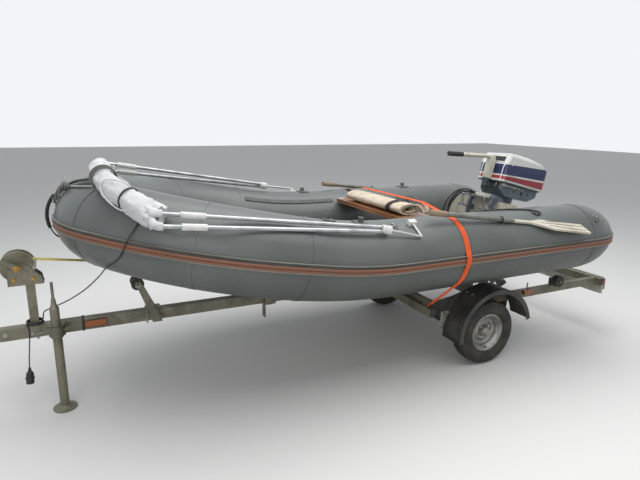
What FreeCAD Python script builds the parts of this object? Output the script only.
import FreeCAD, Part
import os
from math import acos, asin, atan2, cos, degrees, hypot, pi, radians, sin, tan

# Rigid inflatable boat with a tiller outboard motor, lashed down on its road trailer.
# Millimetres. Stations run aft from the trailer's prop stand, +Y is starboard, +Z is up.
# Every solid is moved forward by MID_STATION as it is saved, so the origin lies on the
# floor, midway between the coupling's nose and the rear lamps.

V = FreeCAD.Vector
UP = V(0, 0, 1)
AFT = V(1, 0, 0)
STARBOARD = V(0, 1, 0)

# overall
COUPLING_NOSE = -600.0
LAMP_TAIL = 4262.0
MID_STATION = (COUPLING_NOSE + LAMP_TAIL) / 2
FIT = 0.3
REACH = 1500.0

# buoyancy tube: a horizontal side run, a lift, a sloping run and a round bow
TUBE_R = 246.0
TUBE_Y = 680.0
TUBE_Z = 900.0
CONE_START = 3605.0
CONE_LENGTH = 356.0
CONE_END_R = 88.0
CONE_CAP = 24.0
LIFT_START = 1945.0
LIFT_RADIUS = 3200.0
LIFT_ANGLE = 10.8
SLOPE_RUN = 25.0
BOW_ARC_R = 420.0
BOW_ARC_ANGLE = 45.0
# rubbing strake on the tube's outer side
STRAKE_HALF = 31.0
STRAKE_THICK = 11.0
STRAKE_GROOVE = 3.0

# rigid hull: station, keel height, half beam and height of the chine, half beam and height of the deck
HULL_TABLE = (
    (3600.0, 575.0, 520.0, 700.0, 520.0, 722.0),
    (2200.0, 575.0, 520.0, 700.0, 520.0, 722.0),
    (1500.0, 622.0, 515.0, 742.0, 515.0, 764.0),
    (900.0, 688.0, 470.0, 835.0, 470.0, 858.0),
    (460.0, 757.0, 245.0, 910.0, 245.0, 935.0),
    (367.0, 900.0, 60.0, 945.0, 60.0, 960.0),
)
DECK_Z = 700.0
WELL_FRONT = 900.0
WELL_HALF = 520.0
HULL_THICK = 40.0
SOLE_THICK = 12.0
SOLE_FRONT = 1560.0

# transom, raked aft, and the motor's frame, which leans with it about the tilt tube
RAKE = 14.0
PIVOT_STATION = 3330.0
PIVOT_Z = 1130.0
PIVOT = V(PIVOT_STATION, 0, PIVOT_Z)
TRANSOM_FRONT = 46.0
TRANSOM_THICK = 45.0
TRANSOM_TOP = -20.0
TRANSOM_HALF_TOP = 330.0
TRANSOM_SHOULDER = 110.0
TRANSOM_FLARE = 90.0

# thwart and what lies on it
THWART_STATION = 2170.0
THWART_DEPTH = 270.0
THWART_HALF = 492.0
THWART_THICK = 28.0
THWART_TOP = 1100.0
ROLL_DEPTH = 220.0
ROLL_HIGH = 92.0
ROLL_PORT = -415.0
ROLL_STARBOARD = 395.0

# fittings along the tube: length from the stern cone, forwards
TRACK_WIDE = 34.0
TRACK_THICK = 6.0

# canopy frame, stowed forwards
POLE_R = 11.0
SLEEVE_R = 17.0
SLEEVE_LENGTH = 125.0

# oars
OAR_SHAFT_R = 16.0
OAR_GRIP_R = 20.0
OAR_GRIP_LENGTH = 120.0
BLADE_THROAT = 640.0
BLADE_WIDE = 150.0
BLADE_THICK = 14.0

# orange lashing strap
STRAP_WIDE = 40.0
STRAP_THICK = 3.0
STRAP_STATION = 2373.0

# motor, in its own frame: aft and up from the tilt tube
COWL_SEAM = 155.0
COWL_TOP = 412.0
COWL_FRONT = 20.0
COWL_REAR = 552.0
COWL_HALF = 165.0
COWL_WALL = 5.0
PAN_BOTTOM = 40.0
PAN_REAR = 500.0
PAN_HALF = 128.0
ENGINE_LONG = 330.0
ENGINE_WIDE = 230.0
ENGINE_HIGH = 205.0
SWIVEL_AFT = 150.0
SWIVEL_R = 30.0
SWIVEL_TOP = 25.0
SWIVEL_BOTTOM = -330.0
KINGPIN_R = 15.0
TILT_TUBE_R = 14.0
TILT_BOSS_R = 24.0
CLAMP_INNER = 117.0
CLAMP_OUTER = 141.0
JOINT_GAP = 0.3
MOVING_GAP = 8.0
LEG_FRONT = 196.0
LEG_REAR = 350.0
LEG_HALF = 50.0
PLATE_W = -560.0
GEAR_W = -680.0
GEAR_NOSE = 120.0
GEAR_TAIL = 395.0
GEAR_R = 41.0
SKEG_TIP = -800.0
PROP_R = 103.0
PROP_LENGTH = 95.0

# trailer
DRAWBAR_HALF = 30.0
FRAME_TOP = 460.0
FRAME_DEEP = 60.0
DRAWBAR_TOP = 532.0
DRAWBAR_FRONT = -335.0
DRAWBAR_REAR = 2985.0
WALL = 4.0
FRONT_CROSS = 2350.0
MID_CROSS = 2935.0
REAR_CROSS = 4145.0
CROSS_WIDE = 50.0
CROSS_HALF = 620.0
CROSS_BEYOND_BOARD = 10.0
BOARD_HALF = 610.0
RAIL_Y = 555.0
RAIL_WIDE = 40.0
AXLE_STATION = 2812.0
WHEEL_R = 243.0
WHEEL_Y = 664.0
TYRE_WIDE = 145.0
RIM_R = 143.0
RIM_WIDE = 108.0
HUB_R = 42.0
AXLE_SIDE = 42.0
SPRING_Y = 530.0
SPRING_WIDE = 45.0
MUDGUARD_R = 330.0
MUDGUARD_THICK = 5.0
MUDGUARD_WIDE = 200.0
JACK_Y = -100.0
JACK_R = 26.0
JACK_FOOT_R = 68.0
JACK_SHOULDER = 675.0
JACK_TIP = 812.0
COUPLING_BALL_R = 25.5
WINCH_STATION = -165.0
WINCH_Z = 905.0
DRUM_FLANGE_R = 90.0
DRUM_HALF = 27.0
POST_STATION = -115.0
POST_SIDE = 45.0


def box(low, high):
    return Part.makeBox(high[0] - low[0], high[1] - low[1], high[2] - low[2], V(*low))


def rod(start, end, radius):
    return Part.makeCylinder(radius, (end - start).Length, start, end - start)


def pipe(start, end, radius, bore):
    """A tube from start to end with a hole along it."""
    return rod(start, end, radius).cut(rod(start, end, bore))


def face(points):
    return Part.Face(Part.makePolygon(list(points) + [points[0]]))


def prism(points, along):
    return face(points).extrude(along)


def port(shape):
    """The port-hand copy of a starboard solid, or the other way round."""
    return shape.mirror(V(0, 0, 0), STARBOARD)


def pair(shape):
    return [shape, port(shape)]


def join(solids):
    whole = solids[0].fuse(solids[1:]) if len(solids) > 1 else solids[0]
    return whole.removeSplitter()


def save(node, solids):
    """Write one node, its solids moved so that the origin is under the middle."""
    moved = []
    for solid in solids:
        copy = solid.copy()
        copy.translate(V(-MID_STATION, 0, 0))
        moved += copy.Solids
    Part.makeCompound(moved).exportStep("parts/%s.step" % node)


class Frame:
    """A place on the starboard tube's axis: point, forward, outboard and up directions."""

    def __init__(self, point, ahead, out, up):
        self.point, self.ahead, self.out, self.up = point, ahead, out, up

    def at(self, outward, upward):
        return self.point + self.out * outward + self.up * upward

    def round_at(self, angle, radius):
        """A point at an angle round the axis, 0 outermost and 90 on top."""
        return self.at(radius * cos(radians(angle)), radius * sin(radians(angle)))


# large side arc that joins the side run to the small bow arc
SIDE_ARC_ANGLE = 90 - BOW_ARC_ANGLE
SIDE_ARC_R = (TUBE_Y - BOW_ARC_R * cos(radians(SIDE_ARC_ANGLE))) / (1 - cos(radians(SIDE_ARC_ANGLE)))

# runs of the tube's axis, stern to bow: kind, radius, length or turn in degrees
AXIS_RUNS = (
    ("straight", 0.0, CONE_START - LIFT_START),
    ("lift", LIFT_RADIUS, LIFT_ANGLE),
    ("straight", 0.0, SLOPE_RUN),
    ("turn", SIDE_ARC_R, SIDE_ARC_ANGLE),
    ("turn", BOW_ARC_R, BOW_ARC_ANGLE),
)
STERN_FRAME = Frame(V(CONE_START, TUBE_Y, TUBE_Z), -AFT, STARBOARD, UP)


def run_length(run):
    kind, radius, amount = run
    return amount if kind == "straight" else radius * radians(amount)


RUN_LENGTHS = [run_length(run) for run in AXIS_RUNS]
SIDE_LENGTH = sum(RUN_LENGTHS[:4])
AXIS_LENGTH = sum(RUN_LENGTHS)


def step(frame, run, part):
    """Move a frame along a run by part of its length. Returns it with the turn's centre and axis."""
    kind, radius, amount = run
    if kind == "straight":
        return Frame(frame.point + frame.ahead * part, frame.ahead, frame.out, frame.up), None, None, 0
    toward = frame.up if kind == "lift" else -frame.out
    centre = frame.point + toward * radius
    axis = frame.ahead.cross(toward)
    turn = degrees(part / radius)
    spin = FreeCAD.Rotation(axis, turn)
    moved = Frame(centre + spin.multVec(frame.point - centre), spin.multVec(frame.ahead),
                  spin.multVec(frame.out), spin.multVec(frame.up))
    return moved, centre, axis, turn


def frame_at(length):
    """The frame at a length along the axis from the stern cone."""
    frame = STERN_FRAME
    for run, whole in zip(AXIS_RUNS, RUN_LENGTHS):
        part = min(length, whole)
        frame = step(frame, run, part)[0]
        length -= part
        if length <= 0:
            break
    return frame


def sweep(profile, start, end):
    """Carry a section, a function from a frame to a face, along part of the tube's axis."""
    pieces = []
    passed = 0.0
    frame = STERN_FRAME
    for run, whole in zip(AXIS_RUNS, RUN_LENGTHS):
        low, high = max(start - passed, 0.0), min(end - passed, whole)
        if high - low > 1e-6:
            here = step(frame, run, low)[0]
            section = profile(here)
            there, centre, axis, turn = step(here, run, high - low)
            if centre is None:
                pieces.append(section.extrude(there.point - here.point))
            else:
                pieces.append(section.revolve(centre, axis, turn))
        frame = step(frame, run, whole)[0]
        passed += whole
    return join(pieces)


def disc(radius):
    return lambda frame: Part.Face(Part.Wire(Part.makeCircle(radius, frame.point, frame.ahead)))


def band(angle, half, inner, thick):
    """A band round the tube's skin: a section between two arcs, centred on an angle."""
    def profile(frame):
        spread = degrees(half / inner)
        low, high = angle - spread, angle + spread
        first, last = frame.round_at(low, inner), frame.round_at(high, inner)
        outer = [frame.round_at(a, inner + thick) for a in (high, angle, low)]
        edges = [Part.Arc(first, frame.round_at(angle, inner), last).toShape(),
                 Part.LineSegment(last, outer[0]).toShape(),
                 Part.Arc(*outer).toShape(),
                 Part.LineSegment(outer[2], first).toShape()]
        return Part.Face(Part.Wire(edges))
    return profile


def strake_profile(frame):
    """The strake's section: a flat back on the skin, a ribbed face with two grooves."""
    inner = TUBE_R + FIT
    spread = degrees(STRAKE_HALF / inner)
    first, last = frame.round_at(-spread, inner), frame.round_at(spread, inner)
    face_out = inner + STRAKE_THICK
    groove_out = face_out - STRAKE_GROOVE
    half = STRAKE_HALF
    ridge = [(groove_out - 2, half), (face_out - 2, half * 0.86), (face_out - 2, half * 0.62),
             (groove_out, half * 0.56), (groove_out, half * 0.26), (face_out, half * 0.20)]
    rest = [(out, -up) for out, up in reversed(ridge)]
    points = [last] + [frame.at(*spot) for spot in ridge + rest] + [first]
    edges = [Part.Arc(first, frame.round_at(0, inner), last).toShape()]
    edges += [Part.LineSegment(a, b).toShape() for a, b in zip(points, points[1:])]
    return Part.Face(Part.Wire(edges))


def motor(aft, across, up):
    """A point of the motor's own frame, which leans aft by the transom's rake."""
    lean = radians(RAKE)
    return PIVOT + V(aft * cos(lean) + up * sin(lean), across, up * cos(lean) - aft * sin(lean))


def lean(shape):
    """Put a solid that was made upright in the motor's frame in its place."""
    placed = shape.copy()
    placed.rotate(V(0, 0, 0), STARBOARD, RAKE)
    placed.translate(PIVOT)
    return placed


def turned(points, centre, direction, angle=360):
    """Revolve an outline of (along, radius) points about a line."""
    side = direction.cross(UP) if abs(direction.z) < 0.9 else AFT
    side.normalize()
    outline = [centre + direction * along + side * radius for along, radius in points]
    return face(outline).revolve(centre, direction, angle)


# Buoyancy tubes

def cone(radius_gain):
    """The domed stern end of a tube, its outline one arc and a small cap."""
    start_r = TUBE_R + radius_gain
    end_r = CONE_END_R + radius_gain
    dome_r = (CONE_LENGTH ** 2 + (start_r - end_r) ** 2) / (2 * (start_r - end_r))
    centre = STERN_FRAME.point
    end_angle = asin(CONE_LENGTH / dome_r)

    def spot(angle):
        return centre + AFT * (dome_r * sin(angle)) + STARBOARD * (start_r - dome_r + dome_r * cos(angle))

    tip = centre + AFT * (CONE_LENGTH + CONE_CAP)
    shoulder = spot(end_angle)
    cap_r = (end_r ** 2 + CONE_CAP ** 2) / (2 * CONE_CAP)
    cap_angle = asin(end_r / cap_r) / 2
    halfway = tip + AFT * (cap_r * (cos(cap_angle) - 1)) + STARBOARD * (cap_r * sin(cap_angle))
    edges = [Part.LineSegment(centre, spot(0)).toShape(),
             Part.Arc(spot(0), spot(end_angle / 2), shoulder).toShape(),
             Part.Arc(shoulder, halfway, tip).toShape(),
             Part.LineSegment(tip, centre).toShape()]
    return Part.Face(Part.Wire(edges)).revolve(centre, AFT, 360)


def tube_solid(gain, end):
    """A tube from its stern cone to a length along its axis, its skin moved out by gain."""
    return join([cone(gain), sweep(disc(TUBE_R + gain), 0, end)])


starboard_tube = tube_solid(0, SIDE_LENGTH)
save("starboard_tube", [starboard_tube])
save("port_tube", [port(starboard_tube)])
half_bow = sweep(disc(TUBE_R), SIDE_LENGTH, AXIS_LENGTH)
bow_tube = join([half_bow, port(half_bow)])
save("bow_tube", [bow_tube])

# room that everything which lies against the tubes leaves for them
half_room = tube_solid(FIT, AXIS_LENGTH)
tube_room = half_room.fuse(port(half_room))


# Rubbing strake round the whole outer side, carried on round the stern cones

def strake_on_cone():
    start_r, end_r = TUBE_R, CONE_END_R
    dome_r = (CONE_LENGTH ** 2 + (start_r - end_r) ** 2) / (2 * (start_r - end_r))
    centre = STERN_FRAME.point + STARBOARD * (start_r - dome_r)
    turn = degrees(asin(CONE_LENGTH / dome_r)) * 0.97
    return strake_profile(STERN_FRAME).revolve(centre, -UP, turn)


half_strake = join([strake_on_cone(), sweep(strake_profile, 0, AXIS_LENGTH)])
save("rubbing_strake", [join([half_strake, port(half_strake)])])


# Rigid hull, transom and sole

def hull_section(station, keel, beam, chine, deck_beam, deck):
    points = [V(station, 0, keel), V(station, beam, chine), V(station, deck_beam, deck),
              V(station, -deck_beam, deck), V(station, -beam, chine)]
    return Part.makePolygon(points + [points[0]])


def raked_slab(front, rear):
    """All that lies between two planes parallel to the transom."""
    return lean(box((front, -REACH, -REACH), (rear, REACH, REACH)))


def well_section(station, keel, beam, chine, deck_beam, deck):
    """The cockpit's section, a hull's thickness inside the skin and open upwards."""
    points = [V(station, 0, keel + HULL_THICK), V(station, beam, chine + HULL_THICK),
              V(station, beam, deck + WELL_HALF), V(station, -beam, deck + WELL_HALF),
              V(station, -beam, chine + HULL_THICK)]
    return Part.makePolygon(points + [points[0]])


hull_body = Part.makeLoft([hull_section(*row) for row in HULL_TABLE], True, True)
well = Part.makeLoft([well_section(*row) for row in HULL_TABLE if row[0] >= WELL_FRONT], True, True)
well = well.common(box((WELL_FRONT, -WELL_HALF, DECK_Z), (CONE_START, WELL_HALF, TUBE_Z)))
hull = hull_body.cut([well, raked_slab(TRANSOM_FRONT, REACH), tube_room])
hull = max(hull.Solids, key=lambda solid: solid.Volume)
save("hull", [hull])

sole = box((SOLE_FRONT, -WELL_HALF, DECK_Z), (CONE_START, WELL_HALF, DECK_Z + SOLE_THICK))
sole = sole.cut([raked_slab(TRANSOM_FRONT, REACH), tube_room, hull])
save("cockpit_sole", [max(sole.Solids, key=lambda solid: solid.Volume)])

row = HULL_TABLE[0]
top = motor(TRANSOM_FRONT, 0, TRANSOM_TOP).z
half_board = [(row[2], row[3]), (row[2], top - TRANSOM_SHOULDER),
              (TRANSOM_HALF_TOP + TRANSOM_FLARE, top - TRANSOM_SHOULDER), (TRANSOM_HALF_TOP, top)]
board = prism([V(0, 0, row[1])] + [V(0, y, z) for y, z in half_board] +
              [V(0, -y, z) for y, z in reversed(half_board)], V(CONE_START, 0, 0))
transom = board.common(raked_slab(TRANSOM_FRONT, TRANSOM_FRONT + TRANSOM_THICK))
transom = transom.cut([tube_room, lean(box((0, -REACH, TRANSOM_TOP), (REACH, REACH, REACH)))])
save("transom", [max(transom.Solids, key=lambda solid: solid.Volume)])


def keel_at(station):
    for after, before in zip(HULL_TABLE, HULL_TABLE[1:]):
        if before[0] <= station <= after[0]:
            share = (station - before[0]) / (after[0] - before[0])
            return before[1] + share * (after[1] - before[1])
    return HULL_TABLE[-1][1]


# Thwart, its end brackets and the rolled canvas lashed on it

thwart = box((THWART_STATION, -THWART_HALF, THWART_TOP - THWART_THICK),
             (THWART_STATION + THWART_DEPTH, THWART_HALF, THWART_TOP))
thwart = thwart.cut([tube_room])
save("thwart", [max(thwart.Solids, key=lambda solid: solid.Volume)])

roll_front, roll_rear = THWART_STATION + 8, THWART_STATION + 8 + ROLL_DEPTH
roll_round = ROLL_HIGH * 0.36
roll_low = THWART_TOP + FIT
roll = box((roll_front, ROLL_PORT, roll_low), (roll_rear, ROLL_STARBOARD, roll_low + ROLL_HIGH))
roll = roll.makeFillet(roll_round, [edge for edge in roll.Edges if abs(edge.tangentAt(0).y) > 0.9])
save("canvas_roll", [roll])

# Seat tracks: black strips on the inner shoulder, start and end lengths from the cone,
# and angle round the tube
TRACKS = ((CONE_START - 2960, CONE_START - 2700, 139), (CONE_START - 2140, CONE_START - 1330, 132))
tracks = []
for start, end, angle in TRACKS:
    half = TRACK_WIDE / 2
    tracks.append(sweep(band(angle, half, TUBE_R + FIT, TRACK_THICK), start, end))
save("seat_tracks", [copy for track in tracks for copy in pair(track)])

# Blocks on rubber patches: rowlock sockets are bored, the others hold a loop of cord
BLOCK_R = 17.0
BLOCK_HIGH = 34.0
PATCH_HALF = 48.0
PATCH_THICK = 4.0
SOCKET_R = 6.5
FITTINGS = (
    # side, station of the after edge, angle round the tube, patch length, bored
    (-1, 1725, 82, 90, True),
    (-1, 1500, 93, 80, False),
    (1, 1975, 88, 90, True),
    (1, 3010, 90, 90, False),
)
patches = []
for side, station, angle, long, bored in FITTINGS:
    length = CONE_START - station
    base = sweep(band(angle, PATCH_HALF, TUBE_R + FIT, PATCH_THICK), length, length + long)
    frame = frame_at(length + long / 2)
    foot = frame.round_at(angle, TUBE_R + PATCH_THICK / 2)
    tip = frame.round_at(angle, TUBE_R + BLOCK_HIGH)
    patch = join([base, rod(foot, tip, BLOCK_R)])
    if bored:
        past = frame.round_at(angle, TUBE_R + 2 * BLOCK_HIGH)
        patch = patch.cut(rod(frame.round_at(angle, TUBE_R), past, SOCKET_R))
    patches.append(patch if side > 0 else port(patch))
save("rowlock_blocks", patches)


# Bow fittings: towing eye on the stem, webbing handle round the nose

BOW_EYE = V(374, 0, 872)
EYE_R = 16.0
EYE_ROD = 5.0
eye_ring = Part.makeTorus(EYE_R, EYE_ROD, BOW_EYE, STARBOARD)
eye_plate = rod(BOW_EYE + V(EYE_R, 0, 0), BOW_EYE + V(EYE_R + 60, 0, 14), 9)
bow_eye = join([eye_ring, eye_plate]).cut(hull)
save("bow_eye", [max(bow_eye.Solids, key=lambda solid: solid.Volume)])

nose = frame_at(AXIS_LENGTH)
HANDLE_TOP_ANGLE = 40.0
HANDLE_LOW_ANGLE = -34.0
HANDLE_MIDDLE_ANGLE = 4.0
HANDLE_WIDE = 26.0
HANDLE_THICK = 5.0
HANDLE_STAND = 26.0


def bow_handle():
    """A webbing loop that stands off the nose: an arc over the strake, its feet on the skin."""
    top_foot = nose.round_at(HANDLE_TOP_ANGLE, TUBE_R + FIT)
    low_foot = nose.round_at(HANDLE_LOW_ANGLE, TUBE_R + FIT)
    middle = nose.round_at(HANDLE_MIDDLE_ANGLE, TUBE_R + STRAKE_THICK + HANDLE_STAND)
    inner = Part.Arc(top_foot, middle, low_foot).toShape()
    outer = Part.Arc(nose.round_at(HANDLE_TOP_ANGLE + 2, TUBE_R + FIT + HANDLE_THICK),
                     nose.round_at(HANDLE_MIDDLE_ANGLE, TUBE_R + STRAKE_THICK + HANDLE_STAND + HANDLE_THICK),
                     nose.round_at(HANDLE_LOW_ANGLE - 2, TUBE_R + FIT + HANDLE_THICK)).toShape()
    ends = [Part.LineSegment(inner.Vertexes[-1].Point, outer.Vertexes[-1].Point).toShape(),
            Part.LineSegment(outer.Vertexes[0].Point, inner.Vertexes[0].Point).toShape()]
    strip = Part.Face(Part.Wire(Part.__sortEdges__([inner, outer] + ends)))
    strip.translate(nose.ahead * (-HANDLE_WIDE / 2))
    return strip.extrude(nose.ahead * HANDLE_WIDE).cut(tube_room)


handle = bow_handle()
save("bow_handle", [max(handle.Solids, key=lambda solid: solid.Volume)])


# Canopy: its cover rolled across the bow, its poles laid back along each tube.
# A place beside a tube is the length back from the nose along the tube's axis, the angle
# round it and the distance off its skin.
COVER_R = 76.0
COVER_TABLE = (
    # side, length back, angle, distance
    (-1, 621.0, 32.0, COVER_R - 2),
    (-1, 427.0, 46.6, COVER_R - 2),
    (-1, 165.0, 77.0, COVER_R - 2),
    (1, 371.0, 50.5, COVER_R + 44),
)
# forward ends of the upper and lower pole, the jaw slide where both meet, the eye of the
# tail tube and the mount block that the short brace runs to
POLE_TABLE = (
    # side, start of the sleeves, then a place for each
    (-1, 132.0, (633.0, 28.3, 136.0), (661.0, 18.2, 168.0), (1829.0, 53.4, 36.0), (2081.0, 41.4, 14.0),
     (2073.0, 68.0, 16.0)),
    (1, 58.0, (401.0, 56.6, 108.0), (441.0, 47.2, 82.0), (1581.0, 85.9, 42.0), (1881.0, 80.1, 24.0),
     (1877.0, 85.3, -0.8)),
)
KNUCKLE_LONG = 58.0
KNUCKLE_R = 26.0
POLE_SPREAD = 12.0
BLOCK_LONG, BLOCK_WIDE = 52.0, 34.0
poles, fittings, pole_room = [], [], []


def beside(side, back, angle, distance):
    """The point at a length back from the nose, at an angle and a distance off the skin."""
    spot = frame_at(AXIS_LENGTH - back).round_at(angle, TUBE_R + distance)
    return V(spot.x, side * spot.y, spot.z)


def toward(start, end, distance):
    """A point that far from start on the way to end."""
    way = end - start
    way.normalize()
    return start + way * distance


for side, sleeve_start, *places in POLE_TABLE:
    upper, lower, slide, eye, block = [beside(side, *place) for place in places]
    for start, spread in ((upper, -POLE_SPREAD), (lower, POLE_SPREAD)):
        end = slide + V(0, side * spread * 0.5, -spread * 0.9)
        poles.append(rod(start, end, POLE_R))
        pole_room.append(rod(toward(start, end, -5), end, POLE_R + FIT))
        first = toward(start, end, sleeve_start)
        fittings.append(pipe(first, toward(first, end, SLEEVE_LENGTH), SLEEVE_R, POLE_R + FIT))
    tail_start = toward(slide, eye, KNUCKLE_LONG / 2 + FIT)
    poles.append(rod(tail_start, eye, POLE_R * 0.7))
    knuckle = rod(toward(slide, eye, -KNUCKLE_LONG / 2), toward(slide, eye, KNUCKLE_LONG / 2), KNUCKLE_R)
    fittings.append(knuckle.cut(pole_room[-2:]))
    out = V(0, block.y - side * TUBE_Y, block.z - TUBE_Z)
    out.normalize()
    seat = Part.makeBox(BLOCK_LONG, BLOCK_WIDE, 34, V(-BLOCK_LONG / 2, -BLOCK_WIDE / 2, -22))
    seat.Placement = FreeCAD.Placement(block, FreeCAD.Rotation(UP, out))
    bridge_rod = rod(eye, block, POLE_R * 0.6)
    fittings.append(join([seat, bridge_rod]).cut([tube_room, poles[-1]]))
save("canopy_poles", poles)
save("canopy_fittings", [max(item.Solids, key=lambda solid: solid.Volume) for item in fittings])

cover_line = [beside(*place) for place in COVER_TABLE]
cover_parts = [rod(start, end, COVER_R) for start, end in zip(cover_line, cover_line[1:])]
cover_parts += [Part.makeSphere(COVER_R, knee) for knee in cover_line[1:-1]]

# Lighting lead, first stretch: out from under the cover, over the port tube and its strake
LEAD_R = 3.5
LEAD_SKIN_TABLE = (
    # length back from the nose, angle, distance off the skin
    (543.0, 31.0, 5.0), (537.0, 22.0, 6.5), (528.0, 12.5, 12.5), (518.0, 4.5, 19.0), (506.0, -4.0, 19.0),
    (494.0, -12.5, 14.0), (478.0, -20.5, 8.5), (457.0, -28.0, 6.5), (431.0, -35.0, 6.5), (400.0, -42.0, 7.0),
    (364.0, -49.5, 9.0),
)
skin_points = [beside(-1, *place) for place in LEAD_SKIN_TABLE]
lead_room = rod(toward(skin_points[0], skin_points[1], -LEAD_R), skin_points[1], LEAD_R + FIT)

cover = join(cover_parts).cut([tube_room, lead_room] + pole_room)
save("canopy_cover", [max(cover.Solids, key=lambda solid: solid.Volume)])


# Oars, one laid on each tube's outer shoulder, and their blades
OAR_GRIP_PLACE = (AXIS_LENGTH - CONE_START + 2168, 72.6, 62.1)
OAR_TIP_PLACE = (AXIS_LENGTH - CONE_START + 3448, 27.6, 14.8)
shafts, grips, blades = [], [], []
for side in (-1, 1):
    grip_end, tip = beside(side, *OAR_GRIP_PLACE), beside(side, *OAR_TIP_PLACE)
    along = tip - grip_end
    along.normalize()
    grip = rod(grip_end, grip_end + along * OAR_GRIP_LENGTH, OAR_GRIP_R)
    throat = tip - along * BLADE_THROAT
    shaft = rod(grip_end + along * OAR_GRIP_LENGTH, throat, OAR_SHAFT_R)
    across = V(0, -side, 0) + UP * (0.42)
    across = across - along * across.dot(along)
    across.normalize()
    normal = along.cross(across)
    half, neck = BLADE_WIDE / 2, OAR_SHAFT_R * 0.8
    outline = [throat + across * neck, throat + along * 150 + across * neck,
               throat + along * 330 + across * half * 0.92, tip - along * 12 + across * half,
               tip - along * 2 - across * half, throat + along * 330 - across * half * 0.92,
               throat + along * 150 - across * neck, throat - across * neck]
    flat = prism([spot - normal * (BLADE_THICK / 2) for spot in outline], normal * BLADE_THICK)
    shafts.append(shaft)
    grips.append(grip)
    blades.append(flat.cut(tube_room))
save("oar_shafts", shafts)
save("oar_grips", grips)
save("oar_blades", blades)


# Orange strap: from one end of the front cross member round the port tube and its strake,
# across over the rolled canvas, and round the starboard tube to the other end

STRAP_TAIL_Y = 560.0
strap_r = TUBE_R + FIT
corner_angle = degrees(atan2(STRAKE_HALF, TUBE_R)) + 0.4
corner_r = (TUBE_R + STRAKE_THICK + 3 * FIT) / cos(radians(corner_angle))
lift_off = degrees(acos(strap_r / corner_r)) + corner_angle


def tube_spot(side, angle, radius):
    """A point round the tube's axis in the strap's own plane, 0 outermost and 90 on top."""
    turn = radians(angle)
    return V(0, side * (TUBE_Y + radius * cos(turn)), TUBE_Z + radius * sin(turn))


def tangent_angle(y, z, upper):
    """Where a straight run from a point inboard of the tube touches the strap's circle."""
    out, rise = y - TUBE_Y, z - TUBE_Z
    reach = degrees(acos(strap_r / hypot(out, rise)))
    middle = degrees(atan2(rise, out))
    return middle - reach if upper else middle + reach


def side_wrap(side, first_angle, last_angle):
    """The run round a tube and over its strake, from the top angle to the low one."""
    def arc(start, end):
        return Part.Arc(tube_spot(side, start, strap_r), tube_spot(side, (start + end) / 2, strap_r),
                        tube_spot(side, end, strap_r)).toShape()

    corners = [tube_spot(side, lift_off, strap_r), tube_spot(side, corner_angle, corner_r),
               tube_spot(side, -corner_angle, corner_r), tube_spot(side, -lift_off, strap_r)]
    straights = [Part.LineSegment(a, b).toShape() for a, b in zip(corners, corners[1:])]
    return [arc(first_angle, lift_off)] + straights + [arc(-lift_off, last_angle)]


def lashing():
    tail_z = FRAME_TOP + STRAP_THICK
    roll_top = THWART_TOP + ROLL_HIGH + 3 * FIT
    low = tangent_angle(STRAP_TAIL_Y, tail_z, False)
    port_leave = tangent_angle(-ROLL_PORT, roll_top, True)
    starboard_leave = tangent_angle(ROLL_STARBOARD, roll_top, True)
    edges = [Part.LineSegment(V(0, -STRAP_TAIL_Y, tail_z), tube_spot(-1, low, strap_r)).toShape()]
    edges += side_wrap(-1, port_leave, low)
    edges += [Part.LineSegment(tube_spot(-1, port_leave, strap_r), V(0, ROLL_PORT, roll_top)).toShape(),
              Part.LineSegment(V(0, ROLL_PORT, roll_top), V(0, ROLL_STARBOARD, roll_top)).toShape(),
              Part.LineSegment(V(0, ROLL_STARBOARD, roll_top),
                               tube_spot(1, starboard_leave, strap_r)).toShape()]
    edges += side_wrap(1, starboard_leave, low)
    edges.append(Part.LineSegment(tube_spot(1, low, strap_r), V(0, STRAP_TAIL_Y, tail_z)).toShape())
    line = Part.Wire(Part.__sortEdges__(edges))
    section = line.makeOffset2D(STRAP_THICK, 2, True, True)
    if section.BoundBox.ZMax < roll_top + STRAP_THICK / 2:
        section = line.makeOffset2D(-STRAP_THICK, 2, True, True)
    section.translate(V(STRAP_STATION - STRAP_WIDE / 2, 0, 0))
    return section.extrude(V(STRAP_WIDE, 0, 0))


strap = lashing()
save("lashing_strap", strap.Solids)


# Motor clamp: two cast arms hooked over the transom, tied by the tilt tube, with clamp screws

JAW_FRONT = -8.0
JAW_THICK = 26.0
JAW_DROP = -175.0
REAR_JAW = 24.0
SCREW_W = -105.0
SCREW_R = 9.0
SCREW_PAD_R = 24.0
rear_face = TRANSOM_FRONT + TRANSOM_THICK
saddle = TRANSOM_TOP + FIT
arm_outline = ((JAW_FRONT, 26), (26, 30), (rear_face + 4, 12), (rear_face + REAR_JAW, -18),
               (rear_face + REAR_JAW, JAW_DROP - 40), (rear_face, JAW_DROP - 40), (rear_face, saddle),
               (TRANSOM_FRONT - 14, saddle), (JAW_FRONT + JAW_THICK - 2, -48),
               (JAW_FRONT + JAW_THICK, JAW_DROP), (JAW_FRONT, JAW_DROP), (JAW_FRONT - 12, -60))
arm = prism([V(aft, CLAMP_INNER, up) for aft, up in arm_outline], V(0, CLAMP_OUTER - CLAMP_INNER, 0))
tilt_tube = rod(V(0, -CLAMP_OUTER - 12, 0), V(0, CLAMP_OUTER + 12, 0), TILT_TUBE_R)
middle_y = (CLAMP_INNER + CLAMP_OUTER) / 2
screw = rod(V(-78, middle_y, SCREW_W), V(TRANSOM_FRONT - 10, middle_y, SCREW_W), SCREW_R)
pad = rod(V(TRANSOM_FRONT - 12, middle_y, SCREW_W), V(TRANSOM_FRONT, middle_y, SCREW_W), SCREW_PAD_R)
lever = rod(V(-70, middle_y - 52, SCREW_W), V(-70, middle_y + 52, SCREW_W), 6.5)
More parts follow.
